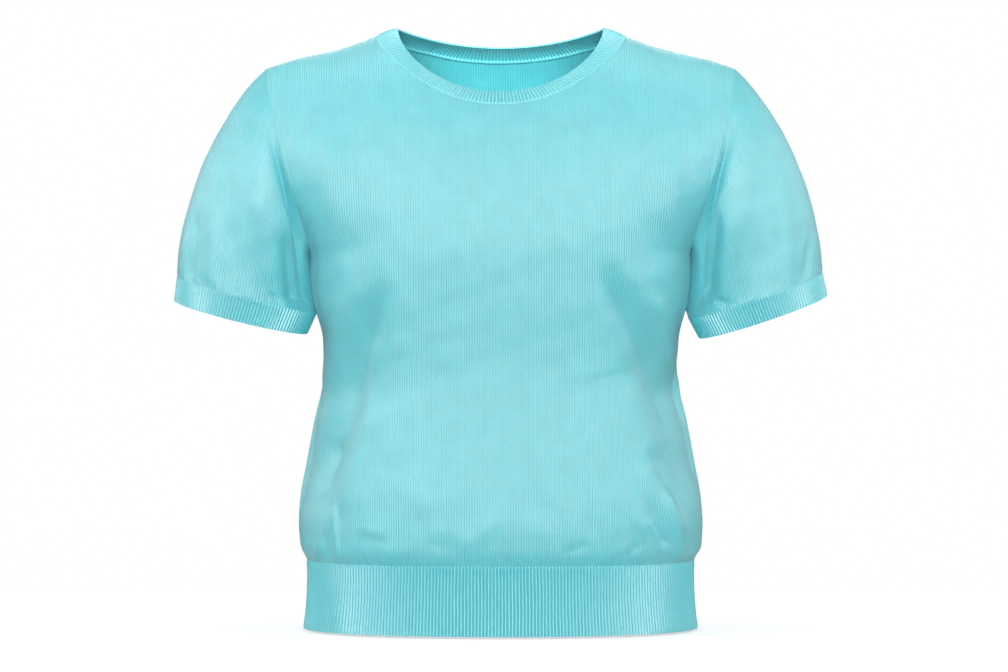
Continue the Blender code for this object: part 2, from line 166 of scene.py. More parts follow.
# The armhole, from the underarm up to the shoulder line: rise (0 to 1), distance from the centre,
# and how far it lies forward or back as a share of the panel's depth at that height.
ARMHOLE = (
    (0.000, 0.1665, 0.00, 0.00),
    (0.010, 0.1668, 0.19, 0.21),
    (0.045, 0.1685, 0.36, 0.39),
    (0.120, 0.1745, 0.50, 0.52),
    (0.225, 0.1830, 0.59, 0.60),
    (0.345, 0.1905, 0.63, 0.64),
    (0.490, 0.1975, 0.62, 0.64),
    (0.680, 0.2030, 0.58, 0.60),
    (1.000, 0.2065, 0.56, 0.58),
)

# Each sleeve: name, side, its middle's distance from the centre, height and half width at the cuff's
# top and then at the cuff's edge, and how far the cuff leans out, in degrees.
SLEEVES = (
    ("left", 1, (0.2238, -0.2345, 0.0622), (0.2309, -0.2538, 0.0594), 18.6),
    ("right", -1, (0.2227, -0.2336, 0.0635), (0.2285, -0.2543, 0.0602), 14.0),
)
CUFF_HALF_DEPTH = 0.0530
CUFF_FRONT_DIP = 0.08

# How full a sleeve's curves are, how steeply they leave the armhole at the shoulder and at the
# underarm, in degrees below the horizontal, and how far they swell forward and back.
SLEEVE_FULLNESS = 0.90
CAP_SLOPE = 42.0
UNDERARM_SLOPE = 86.0
SLEEVE_SWELL = 0.16

# ---------------------------------------------------------------- folds and creases
# Distances over which relief fades in: the body's folds from side seams and armholes, a sleeve's
# from its armhole and from its cuff, and gathers and a sleeve's valley from a join.
FOLD_FADE = 0.012
SLEEVE_TOP_FADE = 0.015
SLEEVE_CUFF_FADE = 0.008
JOIN_FADE = 0.002

# A fold keeps its height for this share of its length to each side of its middle, and falls off
# over the next. A sleeve's fold is whole where the wall turns this far to the front or the back.
FOLD_LEVEL = 0.3
FOLD_TAPER = 0.35
FOLD_FACING = 0.5

# The folds of the front and the back, in millimetres: start (x, z), end (x, z), half width and
# height. A negative height is a trough.
FRONT_FOLDS = (
    # drag folds from the underarms to the sides
    (-106, -244, -161, -392, 12.5, -9.5),
    (-122, -300, -158, -430, 26, -6.2),
    (122, -285, 162, -405, 25, -5.8),
    (-134, -246, -155, -318, 8, 3),
    (-112, -330, -138, -420, 11, 3.5),
    (-152, -360, -160, -410, 9, -4),
    (95, -228, 155, -336, 12, -9.2),
    (133, -240, 152, -292, 8, 3),
    (108, -318, 134, -372, 11, 3),
    (146, -322, 164, -398, 12, -2.5),
    (124, -385, 156, -440, 8, 3.5),
    # soft ridges beside the armholes
    (-146, -110, -148, -205, 13, 4.2),
    (146, -120, 149, -210, 12, 3.6),
    # the blousing over the ends of the hem
    (142, -405, 158, -463, 5, 3.4),
    (128, -418, 144, -455, 6, -2),
    (-148, -424, -159, -460, 3, 2.6),
    (-145, -420, -140, -462, 2.6, 2),
    (-152, -440, -150, -463, 3, -1.8),
    # small creases above the hem and across the front
    (-120, -435, -98, -440, 4, 0.5),
    (-118, -444, -96, -447, 3, -0.4),
    (132, -433, 143, -450, 3, -2),
    (128, -431, 138, -447, 3, 1.4),
    (119, -450, 108, -459, 3.6, -1.4),
    (76, -400, 80, -437, 3.2, -1.4),
    (83, -404, 86, -434, 3.6, 1.2),
    (72, -304, 98, -299, 3.4, 0.4),
    (70, -310, 96, -306, 3.4, -0.2),
    (54, -456, 73, -449, 4, -1.5),
    (-60, -446, -25, -460, 8, -1.2),
    (0, -425, -30, -450, 9, 1.8),
    (100, -410, 128, -440, 7, 1.8),
    (20, -405, 48, -428, 10, -1.4),
    (-90, -390, -62, -420, 11, 1.6),
)
BACK_FOLDS = (
    # drag folds from the underarms and across the waist
    (-102, -238, -148, -350, 12, -7),
    (-128, -250, -150, -312, 8, 3),
    (98, -240, 150, -362, 12, -7.5),
    (132, -255, 153, -325, 8, 2.8),
    (-60, -338, 40, -350, 12, -4),
    (-45, -372, 66, -380, 11, -2.8),
    (126, -370, 158, -440, 10, 3.8),
    (-130, -385, -158, -442, 9, 3.4),
    # small creases above the hem and across the back
    (90, -440, 110, -462, 5, -1.8),
    (-82, -436, -94, -462, 4.5, 1.6),
    (-20, -325, 40, -332, 6, 1.4),
    (10, -440, 22, -463, 5, -1.4),
    (-138, -425, -148, -460, 4, 2.2),
    (140, -428, 150, -461, 4, 2),
    (95, -170, 130, -235, 10, -2.2),
    (-100, -175, -128, -240, 10, -2),
    (-15, -415, 30, -432, 9, 1.4),
)

# The folds of each side of each sleeve, in the same columns.
SLEEVE_FOLDS = {
    "right front": (
        (-176, -125, -162, -256, 17, -9),
        (-185, -190, -179, -246, 6, -3.6),
        (-206, -150, -198, -225, 9, 1.6),
        (-250, -150, -252, -230, 5, 1.4),
        (-265, -170, -272, -222, 4, -2),
        (-274, -175, -279, -220, 3.6, 1),
        (-236, -130, -234, -190, 8, -1),
        (-199, -235, -188, -246, 3.2, -1.6),
    ),
    "left front": (
        (175, -120, 164, -250, 15, -7.5),
        (186, -165, 177, -238, 7, -5),
        (199, -165, 196, -235, 8, 2),
        (187, -240, 205, -249, 3.6, -2.6),
        (246, -130, 252, -212, 6, 1.4),
        (222, -140, 226, -215, 9, -1),
        (269, -190, 264, -226, 3.6, -1.8),
    ),
    "right back": (
        (-186, -160, -178, -240, 9, -4),
        (-240, -150, -250, -220, 8, 1.6),
        (-262, -185, -268, -226, 4, -1.8),
    ),
    "left back": (
        (186, -160, 179, -236, 8, -4.4),
        (236, -160, 242, -222, 7, 1.6),
        (256, -190, 262, -224, 4, -1.6),
    ),
}

# The valley in a sleeve beside its armhole seam: the heights where it starts and is deepest, its
# depth, its distance from the seam and half width, how far the wall turns to the front or the back
# where it is whole, and how far from the cuff it fades.
VALLEY_START = -0.075
VALLEY_FULL = -0.150
VALLEY_DEPTH = 0.0065
VALLEY_AWAY = 0.0065
VALLEY_HALF_WIDTH = 0.0052
VALLEY_FACING = 0.625
VALLEY_CUFF_FADE = 0.015

# Slow unevenness of relaxed knit: wavelength along x, wavelength along z, phase and height.
SOFT_WAVES = (
    (0.131, 0.090, 0.3, 0.00014),
    (0.047, 0.290, 1.9, 0.00012),
    (0.260, -0.061, 0.8, 0.00014),
    (0.034, 0.046, 4.1, 0.00010),
    (-0.071, 0.029, 2.7, 0.00012),
    (0.023, -0.131, 5.2, 0.00006),
)

# Where on these waves the front, the back and the sleeves lie, how much finer they are on a sleeve,
# and how high its waves and gathers are beside the body's.
BODY_WAVE_SHIFT = 0.3
SLEEVE_WAVE_SHIFT = 0.1
SLEEVE_WAVE_FINENESS = 1.3
SLEEVE_SOFTNESS = 0.8

# Gathers beside the hem and the cuffs: pitch, height, reach, and where their unevenness begins.
PUCKER_PITCH = 0.0115
PUCKER_HEIGHT = 0.0008
PUCKER_REACH = 0.012
BODY_PUCKER_SEED = 1.3
SLEEVE_PUCKER_SEED = 2.1

SEAM_DIP = 0.0003
SEAM_HALF_WIDTH = 0.0012

# Fashioning marks: small dimples in the body beside the armhole.
MARK_PITCH = 0.0048
MARK_DEPTH = 0.00045
MARK_AWAY = 0.0075
MARK_HALF_WIDTH = 0.0030

# ---------------------------------------------------------------- colours and yarn
KNIT_COLOUR = (0.062, 0.660, 0.735, 1.0)
# Painted shade: a darker colour mixed into the knit where the grooves between its stitches lie.
KNIT_GROOVE_SHADE_COLOUR = (0.005, 0.310, 0.360, 1.0)
# Painted shade: a darker colour mixed into the grooves between ribs, and how sharply it gathers there.
RIB_GROOVE_SHADE_COLOUR = (0.016, 0.470, 0.540, 1.0)
RIB_GROOVE_SHADE_SHARPNESS = 1.6
WHITE = (1.0, 1.0, 1.0, 1.0)

# Fibres and slow clouds in the yarn: scale, how much they shade it, and depth and strength of bump.
FIBRE_SCALE = 1100.0
FIBRE_SHADE = 0.70
FIBRE_BUMP = (0.0002, 0.40)
CLOUD_SCALE = 60.0
CLOUD_SHADE = 0.45
CLOUD_BUMP = (0.0010, 0.25)
NOISE_DETAIL = 3.0

# A stitch's legs: their distance from the wale's middle and their half width in wales, their slant
# in courses, how much they swell in each course, and their share of the height beside the wale's.
LEG_AWAY = 0.22
LEG_HALF_WIDTH = 0.25
LEG_SLANT = 1.2
LEG_SWELL = 0.6
LEG_SHARE = 0.35

KNIT_FINISH = {
    "Roughness": 0.50,
    "Metallic": 0.0,
    "IOR": 2.0,
    "Specular IOR Level": 1.0,
    "Sheen Weight": 0.24,
    "Sheen Roughness": 0.50,
    "Sheen Tint": WHITE,
}
FLOOR_FINISH = {
    "Base Color": (0.60, 0.60, 0.60, 1.0),
    "Roughness": 0.9,
    "Specular IOR Level": 0.0,
    "Emission Color": WHITE,
}
FLOOR_GLOW = 0.57

# ---------------------------------------------------------------- camera and light
# The real size of a pixel of the photograph at the middle of the garment.
PIXEL = 0.00088
CAMERA_DISTANCE = 3.2
CAMERA_X = 0.003
CAMERA_Z = -0.271
IMAGE_WIDTH = 1008
SENSOR = 36.0
FLOOR_HEIGHT = -0.5285
FLOOR_REACH = 0.50
AMBIENT = 0.17

# Each area light: name, place, what it points at, its two sizes, power, and spread in degrees. Left
# and right are the image's here.
LIGHTS = (
    ("key", (0, -3.2, 0.0), (0, 0, 0.9), (0.9, 0.7), 21.6, 95),
    ("upper", (0.1, -2.7, 1.1), (0, 0, -0.25), (1.0, 0.7), 18, 180),
    ("top", (0, 0.0, 1.9), (0, 0, -0.25), (1.6, 1.3), 19, 180),
    ("back", (0, 2.6, 1.2), (0, 0, -0.25), (1.4, 1.0), 18, 180),
    ("left", (-2.3, 0.0, 0.6), (0, 0, -0.25), (1.0, 1.0), 22, 180),
    ("right", (2.3, 0.0, 0.6), (0, 0, -0.25), (1.0, 1.0), 19, 180),
)

# The spot light that reaches in through the neck opening. Its angle is in degrees.
NECK_LIGHT_PLACE = (0, -1.9, 0.95)
NECK_LIGHT_TARGET = (0, 0.08, -0.03)
NECK_LIGHT_POWER = 240.0
NECK_LIGHT_ANGLE = 4.8
NECK_LIGHT_BLEND = 0.7
NECK_LIGHT_RADIUS = 0.03


def hermite(share, start, start_pull, end, end_pull):
    """Points at a share of the way on curves that leave start and reach end with these pulls."""
    from_start = (1 + 2 * share) * (1 - share) ** 2 * start + share * (1 - share) ** 2 * start_pull
    from_end = share * share * (3 - 2 * share) * end + share * share * (share - 1) * end_pull
    return from_start + from_end


def spline(table, position):
    """Values of a table's other columns at a position in its first column, as a smooth curve."""
    rows = np.array(table, float)
    knots, values = rows[:, 0], rows[:, 1:]
    slopes = np.gradient(values, knots, axis=0)
    position = np.clip(np.asarray(position, float), knots[0], knots[-1])
    index = np.clip(np.searchsorted(knots, position) - 1, 0, len(knots) - 2)
    step = (knots[index + 1] - knots[index])[..., None]
    t = (position - knots[index])[..., None] / step
    return hermite(t, values[index], step * slopes[index], values[index + 1], step * slopes[index + 1])


def unit(vectors):
    """The same directions at length 1."""
    return vectors / np.linalg.norm(vectors, axis=-1, keepdims=True)


def ramp(distance, reach):
    """Rises evenly from 0 to 1 over a reach."""
    return np.clip(distance / reach, 0, 1)


def ease(distance, reach):
    """Rises from 0 to 1 over a reach, softly at both ends."""
    share = ramp(distance, reach)
    return share * share * (3 - 2 * share)


def bell(distance, middle, half_width):
    """1 at the middle, falling off to both sides of it."""
    return np.exp(-(((distance - middle) / half_width) ** 2))


def shoulder_height(x):
    """Height of the shoulder line at a distance from the centre."""
    return spline(SHOULDER_LINE, np.abs(x))[..., 0]


def neck_curve(share, drop, power):
    """How far a curved neckline hangs below its ends, at a share of its half width."""
    return drop * (1 - np.clip(share, 0, 1) ** 2) ** power


def soft_fold(x, z, fold):
    """Height of a fold at a point: a smooth bump across, fading out along its length."""
    start_x, start_z, end_x, end_z, half_width, height = (size / 1000 for size in fold)
    along_x, along_z = end_x - start_x, end_z - start_z
    length = math.hypot(along_x, along_z)
    along = ((x - start_x) * along_x + (z - start_z) * along_z) / length**2
    across = ((x - start_x) * along_z - (z - start_z) * along_x) / length
    beyond = np.maximum(np.abs(along - 0.5) - FOLD_LEVEL, 0) / FOLD_TAPER
    return height * np.exp(-((across / half_width) ** 2) - 2 * beyond**2)


def soft_waves(x, z):
    """Slow unevenness of the knit at a point."""
    total = np.zeros(np.shape(x))
    for wave_x, wave_z, phase, height in SOFT_WAVES:
        total += height * np.sin(2 * math.pi * (x / wave_x + z / wave_z) + phase)
    return total


def puckers(run, away, seed):
    """Small gathers beside a join: run is the distance along it and away the distance off. Slower
    waves shift them and change their height, so that no two are alike."""
    turns = run / PUCKER_PITCH
    wobble = 0.35 * np.sin(1.7 * turns + seed) + 0.25 * np.sin(0.61 * turns + 2 * seed)
    wave = np.sin(2 * math.pi * (turns + wobble))
    uneven = 0.55 + 0.45 * np.sin(0.83 * turns + 3 * seed)
    return PUCKER_HEIGHT * wave * uneven * np.exp(-away / PUCKER_REACH) * ramp(away, JOIN_FADE)


def fashioning_marks(run, away):
    """Rows of small dimples beside an armhole."""
    wave = 0.5 + 0.5 * np.cos(2 * math.pi * run / MARK_PITCH)
    return -MARK_DEPTH * wave * bell(away, MARK_AWAY, MARK_HALF_WIDTH)


def seam_dip(away):
    """How far the knit draws in towards a seam at a distance from it."""
    return -SEAM_DIP * bell(away, 0, SEAM_HALF_WIDTH)


def lengths_along(points, axis):
    """Distance of each grid point from the first one, along the rows (0) or the columns (1)."""
    steps = np.linalg.norm(np.diff(points, axis=axis), axis=-1)
    start = np.zeros_like(np.take(steps, [0], axis=axis))
    return np.concatenate([start, np.cumsum(steps, axis=axis)], axis=axis)


class Panel:
    """One half of the body. A point of its surface has an angle round the body, from the centre (0)
    to the side seam, and a level: 0 to 1 from the hem band to the underarm, 1 to 2 from there to
    the shoulder line."""

    def __init__(self, facing, folds):
        self.facing = facing
        self.folds = folds
        self.reach_column = 1 if facing < 0 else 2
        share_column = 2 if facing < 0 else 3
        rows = np.array(ARMHOLE)
        rise, out, share = rows[:, 0], rows[:, 1], rows[:, share_column]
        square = self.upper_squareness(rise)
        self.form_width = np.column_stack([rise, out / (1 - share**square) ** (1 / square)])
        depth = BODY_SECTIONS[-1][self.reach_column + 1] * np.cos(rise * math.pi / 2)
        height = UNDERARM_HEIGHT + (shoulder_height(out) - UNDERARM_HEIGHT) * np.sin(rise * math.pi / 2)
        path = np.column_stack([out, share * depth, height])
        length = lengths_along(path, 0)
        self.armhole_by_length = np.column_stack([length / length[-1], rise, out])

    def upper_squareness(self, rise):
        """How square the body is between the underarm (rise 0) and the shoulder line (1)."""
        return SHOULDER_SQUARENESS + UNDERARM_EXTRA_SQUARENESS * (1 - rise) ** 4

    def form(self, level):
        """Half width, depth and squareness of the body at each level."""
        low = np.clip(level, 0, 1)
        rise = np.clip(level - 1, 0, 1)
        section = spline(BODY_SECTIONS, HEM_TOP + low * (UNDERARM_HEIGHT - HEM_TOP))
        upper = level > 1
        width = np.where(upper, spline(self.form_width, rise)[..., 0], section[..., 0])
        depth = section[..., self.reach_column] * np.cos(rise * math.pi / 2)
        square = np.where(upper, self.upper_squareness(rise), section[..., 3])
        return width, depth, square

    def surface(self, angle, level):
        """Points of the smooth panel."""
        width, depth, square = self.form(level)
        across = np.clip(np.abs(np.sin(angle)), 0, 1)
        x = width * np.sin(angle)
        y = self.facing * depth * (1 - across**square) ** (1 / square)
        low = HEM_TOP + np.clip(level, 0, 1) * (UNDERARM_HEIGHT - HEM_TOP)
        rise = np.sin(np.clip(level - 1, 0, 1) * math.pi / 2)
        z = low + (shoulder_height(x) - UNDERARM_HEIGHT) * rise
        return np.stack([x, y, z], axis=-1)

    def normal(self, angle, level):
        """Outward directions of the smooth panel."""
        step = 1e-4
        right = np.minimum(angle + step, math.pi / 2)
        left = np.maximum(angle - step, -math.pi / 2)
        across = self.surface(right, level) - self.surface(left, level)
        up = self.surface(angle, np.minimum(level + step, 2)) - self.surface(angle, level - step)
        return unit(np.cross(across, up)) * -self.facing

    def edges(self, shares):
        """Angles and levels of the panel's side edge: the side seam, then the armhole."""
        seam_share = SIDE_ROWS / (SIDE_ROWS + ARMHOLE_ROWS)
        on_armhole = np.clip((shares - seam_share) / (1 - seam_share), 0, 1)
        found = spline(self.armhole_by_length, on_armhole)
        rise, out = found[..., 0], found[..., 1]
        angle = np.arcsin(np.clip(out / self.form(1 + rise)[0], 0, 1))
        below = shares <= seam_share
        return np.where(below, math.pi / 2, angle), np.where(below, shares / seam_share, 1 + rise)

    def neck_height(self, x):
        """Height of the neckline at a distance from the centre."""
        neckline = FRONT_NECK if self.facing < 0 else BACK_NECK
        return NECK_POINT_HEIGHT - neck_curve(np.abs(x) / NECK_HALF_WIDTH, *neckline)

    def top_levels(self, angles):
        """Levels of the neckline at each angle, found by halving."""
        low, high = np.full(angles.shape, 1.0), np.full(angles.shape, 2.0)
        for _ in range(HALVINGS):
            middle = (low + high) / 2
            points = self.surface(angles, middle)
            under = points[..., 2] < self.neck_height(points[..., 0])
            low, high = np.where(under, middle, low), np.where(under, high, middle)
        return high

    def grid(self):
        """Angle and level of each point: a row for each height, a column from right to left."""
        end_angle = float(self.edges(np.array(1.0))[0])
        top_width = float(self.form(np.array(2.0))[0])
        neck_share = math.asin(NECK_HALF_WIDTH / top_width) / end_angle
        neck = np.linspace(0, neck_share, NECK_STEPS + 1)
        line = self.surface(neck * end_angle, self.top_levels(neck * end_angle))
        length = lengths_along(line, 0)
        in_neck = np.interp(np.linspace(0, length[-1], NECK_COLUMNS + 1), length, neck)
        on_shoulder = np.linspace(neck_share, 1, SHOULDER_COLUMNS + 1)
        gathered = np.concatenate([in_neck, on_shoulder[1:]])
        even = np.linspace(0, 1, len(gathered))
        neck_tops = self.top_levels(in_neck[:-1] * end_angle)
        tops = np.concatenate([neck_tops, np.full(SHOULDER_COLUMNS + 1, 2.0)])
        share = np.linspace(0, 1, SIDE_ROWS + ARMHOLE_ROWS + 1)[:, None]
        edge_angle, edge_level = self.edges(share)
        across = even + (gathered - even) * share**NECK_SWEEP
        pull = across**EDGE_PULL
        angles = across * edge_angle
        levels = (1 - pull) * share * (2 - (2 - tops) * share) + pull * edge_level
        return np.hstack([-angles[:, :0:-1], angles]), np.hstack([levels[:, :0:-1], levels])

    def gauge(self, angles, levels):
        """Knit coordinates of each point: wales from the centre line and courses from the hem."""
        shares = np.linspace(0, 1, GAUGE_STEPS + 1)
        arcs = np.array([self.surface(angles * share, levels) for share in shares])
        climbs = np.array([self.surface(angles, levels * share) for share in shares])
        across = lengths_along(arcs[..., :2], 0)[-1] * np.sign(angles)
        up = lengths_along(climbs, 0)[-1]
        return np.stack([across / WALE, up / COURSE], axis=-1)

    def relief(self, points, away_side):
        """Height of the folds, creases and slow unevenness at each point."""
        x, z = points[..., 0], points[..., 2]
        total = np.zeros(x.shape)
        for fold in self.folds:
            total += soft_fold(x, z, fold)
        total += soft_waves(x + BODY_WAVE_SHIFT * self.facing, z)
        return total * ease(away_side, FOLD_FADE)

    def walls(self):
        """Outer and inner points, before the panel is moved off the side and shoulder seams, and
        each point's knit coordinates. The wall's direction at the edges is kept in the plane where
        the panels meet."""
        angles, levels = self.grid()
        outer = self.surface(angles, levels)
        normal = self.normal(angles, levels)
        normal[:, 0] = side_normal(normal[:, 0], -1)
        normal[:, -1] = side_normal(normal[:, -1], 1)
        shoulder = SHOULDER_COLUMNS + 1
        normal[-1, :shoulder, 1] = 0
        normal[-1, -shoulder:, 1] = 0
        normal = unit(normal)
        run = lengths_along(outer, 1)
        rise = lengths_along(outer, 0)
        away_side = np.minimum(run, run[:, -1:] - run)
        height = self.relief(outer, away_side)
        height += puckers(outer[..., 0], rise, BODY_PUCKER_SEED * self.facing)
        height[SIDE_ROWS:] += (fashioning_marks(rise, away_side) + seam_dip(away_side))[SIDE_ROWS:]
        height[0] = 0
        outer = outer + normal * height[..., None]
        for column, side in ((0, -1), (-1, 1)):
            normal[SIDE_ROWS:, column] = armhole_outward(outer[SIDE_ROWS:, column], side)
        return outer, outer - normal * WALL, self.gauge(angles, levels)


def side_normal(normal, side):
    """The wall's direction at a side seam, kept in the plane between the front and the back."""
    flat = normal * np.array([1, 0, 1])
    flat[:, 0] = side * np.maximum(np.abs(flat[:, 0]), LEAST_SIDE_SLOPE)
    return unit(flat)


def armhole_frame(side):
    """Middle of the armhole, its upward direction and the direction out along the sleeve."""
    top = np.array([side * ARMHOLE[-1][1], 0, float(shoulder_height(np.array(ARMHOLE[-1][1])))])
    bottom = np.array([side * ARMHOLE[0][1], 0, UNDERARM_HEIGHT])
    up = unit(top - bottom)
    out = np.array([side * up[2], 0, -side * up[0]])
    return (top + bottom) / 2, up, out


def armhole_outward(points, side):
    """The wall's direction at points of an armhole: away from its middle, in its own plane."""
    middle, up, _ = armhole_frame(side)
    offset = points - middle
    return unit((offset @ up)[:, None] * up + offset * np.array([0, 1, 0]))


# ---------------------------------------------------------------- meshes
def grid_faces(rows, wide, closed, first):
    """Quads of a grid of points, row by row, as vertex numbers."""
    columns = np.arange(wide if closed else wide - 1)
    after = (columns + 1) % wide
    low = np.arange(rows - 1)[:, None] * wide + first
    quads = np.stack([low + columns, low + after, low + wide + after, low + wide + columns], axis=-1)
    return quads.reshape(-1, 4)


def rim_faces(outer_row, wide, inner_row, narrow, step, closed):
    """Triangles between an end row of the outer grid and the coarser one of the inner grid, which
    has one point for each step of the outer points. A row is given by its first vertex."""
    columns = np.arange(narrow if closed else narrow - 1)
    here = inner_row + columns
    after = inner_row + (columns + 1) % narrow
    fans = []
    for k in range(step):
        a = outer_row + (columns * step + k) % wide
        b = outer_row + (columns * step + k + 1) % wide
        fans.append(np.stack([b, a, here], axis=-1))
    last = outer_row + (columns + 1) * step % wide
    fans.append(np.stack([after, last, here], axis=-1))
    return np.concatenate(fans)


def shell_faces(rows, wide, narrow, step, closed):
    """Quads and triangles of a shell: its outer and inner grids and the rims between them."""
    inner = rows * wide
    quads = [grid_faces(rows, wide, closed, 0), grid_faces(rows, narrow, closed, inner)[:, ::-1]]
    if not closed:
        row = np.arange(rows - 1)
        a, b = row * wide, (row + 1) * wide
        p, q = inner + row * narrow, inner + (row + 1) * narrow
        quads.append(np.stack([a, b, q, p], axis=-1))
        quads.append(np.stack([b + wide - 1, a + wide - 1, p + narrow - 1, q + narrow - 1], axis=-1))
    first_rim = rim_faces(0, wide, inner, narrow, step, closed)
    last_rim = rim_faces(inner - wide, wide, inner + (rows - 1) * narrow, narrow, step, closed)
    return np.concatenate(quads), np.concatenate([first_rim, last_rim[:, ::-1]])


def at_corners(faces, knit, turn):
    """Knit coordinates at the corners of faces. turn is the number of wales round a ring: its last
    faces run on past the last wale and don't wind back to the first."""
    at = knit[faces]
    behind = at[..., 0].max(axis=1, keepdims=True) - at[..., 0] > turn / 2
    at[..., 0] += np.where(behind, turn, 0)
    return at.reshape(-1, 2)


def add_object(name, data):
    """A new object of the scene."""
    added = bpy.data.objects.new(name, data)
    bpy.context.scene.collection.objects.link(added)
    return added


def add_shell(name, node, outer, inner, closed, knit, material):
    """A thin shell between two grids of points that replaces a CAD node. The inner grid may have
    fewer columns. knit holds the outer points' knit coordinates."""
    rows, wide = outer.shape[:2]
    narrow = inner.shape[1]
    step = wide // narrow if closed else (wide - 1) // (narrow - 1)
    quads, triangles = shell_faces(rows, wide, narrow, step, closed)
    points = np.concatenate([outer.reshape(-1, 3), inner.reshape(-1, 3)])
    a, b, c = points[quads[:, 0]], points[quads[:, 1]], points[quads[:, 2]]
    if (a * np.cross(b, c)).sum() < 0:
        quads, triangles = quads[:, ::-1], triangles[:, ::-1]
    mesh = bpy.data.meshes.new(name)
    mesh.from_pydata(points, [], quads.tolist() + triangles.tolist())
    mesh.validate()
    turn = 2 * knit[0, -1, 0] - knit[0, -2, 0] - knit[0, 0, 0] if closed else math.inf
    knit = np.concatenate([knit.reshape(-1, 2), knit[:, ::step].reshape(-1, 2)])
    at = np.concatenate([at_corners(quads, knit, turn), at_corners(triangles, knit, turn)])
    mesh.uv_layers.new(name="Knit").uv.foreach_set("vector", at.astype(np.float32).ravel())
    mesh.shade_smooth()
    mesh.set_sharp_from_angle(angle=math.radians(SHARP_ANGLE))
    mesh.materials.append(material)
    piece = add_object(name, mesh)
    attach(piece, "root")
    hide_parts(node)
    return piece


def along(line, count, closed, side_stretch=0):
    """Positions evenly spaced along a line of points, as point index plus fraction. With a side
    stretch they lie wider apart where the line runs front to back."""
    path = np.vstack([line, line[:1]]) if closed else line
    step = np.diff(path, axis=0)
    size = np.linalg.norm(step, axis=1)
    size = size * (1 - side_stretch * (1 - np.hypot(step[:, 0], step[:, 2]) / size))
    length = np.concatenate([[0], np.cumsum(size)])
    wanted = np.linspace(0, length[-1], count + 1)
    if closed:
        wanted = wanted[:-1]
    return np.interp(wanted, length, np.arange(len(path)))


def pick(line, position, closed):
    """Points of a line of points at fractional positions, on its straight steps."""
    path = np.vstack([line, line[:1]]) if closed else line
    index = np.minimum(position.astype(int), len(path) - 2)
    share = (position - index)[:, None]
    return path[index] * (1 - share) + path[index + 1] * share


def rib_profile(phase):
    """Height of a rib across its pitch, 0 to 1: a narrow ridge between wider grooves."""
    return (0.5 - 0.5 * np.cos(2 * math.pi * phase)) ** RIB_SHARPNESS


def swayed(number, share, sway):
    """Ribs by which the rib lines wander, at a share of the way from the seam to the edge."""
    wander = np.zeros(number.shape)
    for part, for_each_rib, to_edge in RIB_SWAYS:
        wander += part * sway * np.sin(number * for_each_rib + to_edge * share)
    return wander * math.sin(math.pi * share)


def fanned(number, share, ribs, fans):
    """Ribs that the rib lines gain from the seam (share 0) to the edge (share 1)."""
    lean = np.zeros(number.shape)
    for gained, centre, spread in fans:
        lean += gained * share * bell(number / ribs, centre, spread)
    return lean


def ribbed_band(name, node, seam, edge, band, material, fans=()):
    """A ribbed shell from a seam to a free edge, which are each an outer and an inner line. The ribs
    show on both faces: behind each ridge of one is a groove of the other."""
    position = along(seam[0], band.ribs * STEPS_PER_RIB, band.closed, band.side_stretch)
    start = pick(seam[0], position, band.closed)
    way = pick(edge[0], position, band.closed) - start
    out = unit(pick(seam[0] - seam[1] + edge[0] - edge[1], position, band.closed))
    number = np.arange(len(position)) / STEPS_PER_RIB
    length = np.linalg.norm(way, axis=1)
    outer, inner, knit = [], [], []
    for row in range(band.rows + 1):
        share = (row / band.rows) ** RIB_ROW_CROWDING
        line = number + swayed(number, share, band.sway) - fanned(number, share, band.ribs, fans)
        away = share * length
        past_bead = away - (BEAD_RIBS_FROM if band.bead else 0)
        size = RIB_HEIGHT * ramp(past_bead, RIB_START)
        size = size * (1 + RIB_HEAD * bell(away, RIB_HEAD_REACH, RIB_HEAD_REACH))
        if row == band.rows:
            size = size * RIB_END_SHARE
        bead = band.bead * np.sin(math.pi * ramp(away, BEAD_WIDTH))
        middle = start + way * share + out * band.bulge * 4 * share * (1 - share)
        height = size * (rib_profile(line) - 0.5) + bead
        opposite = size * (rib_profile(line + 0.5) - 0.5) + bead
        outer.append(middle + out * height[:, None])
        inner.append(middle - out * (WALL + opposite[:, None]))
        knit.append(np.stack([line, past_bead / RIB_COURSE], axis=-1))
    outer, inner, knit = np.array(outer), np.array(inner), np.array(knit)
    return add_shell(name, node, outer, inner, band.closed, knit, material)


# ---------------------------------------------------------------- materials
class Nodes:
    """Short calls to build the nodes of a material or of the world."""

    def __init__(self, owner):
        owner.use_nodes = True
        self.tree = owner.node_tree

    def fill(self, node, inputs):
        """Sets a node's sockets to plain values, or links the outputs of other nodes to them."""
        for socket, given in inputs.items():
            if isinstance(given, bpy.types.NodeSocket):
                self.tree.links.new(given, node.inputs[socket])
            else:
                node.inputs[socket].default_value = given
        return node

    def add(self, kind, inputs):
        """A new node with these sockets filled."""
        return self.fill(self.tree.nodes.new("ShaderNode" + kind), inputs)

    def math(self, operation, a, b=0.0, c=0.0):
        node = self.add("Math", {})
        node.operation = operation
        return self.fill(node, {0: a, 1: b, 2: c}).outputs[0]

    def mix(self, share, a, b):
        """Colour a, turning into colour b with the share."""
        node = self.add("Mix", {})
        node.data_type = "RGBA"
        return self.fill(node, {0: share, 6: a, 7: b}).outputs[2]

    def knit(self):
        """The wale and course coordinates of the knit map."""
        uv = self.add("UVMap", {})
        uv.uv_map = "Knit"
        split = self.add("SeparateXYZ", {0: uv.outputs[0]})
        return split.outputs[0], split.outputs[1]

    def noise(self, scale):
        place = self.add("TexCoord", {}).outputs["Object"]
        node = self.add("TexNoise", {"Vector": place, "Scale": scale, "Detail": NOISE_DETAIL})
        return node.outputs["Fac"]

    def arch(self, distance):
        """1 in the middle, falling to 0 at a distance of 1 to both sides."""
        return self.math("SUBTRACT", 1.0, self.math("MULTIPLY", distance, distance))


def off_middle(nodes, wale):
    """Distance from the middle of the wale, 0 to 0.5."""
    return nodes.math("ABSOLUTE", nodes.math("SUBTRACT", nodes.math("FRACT", wale), 0.5))


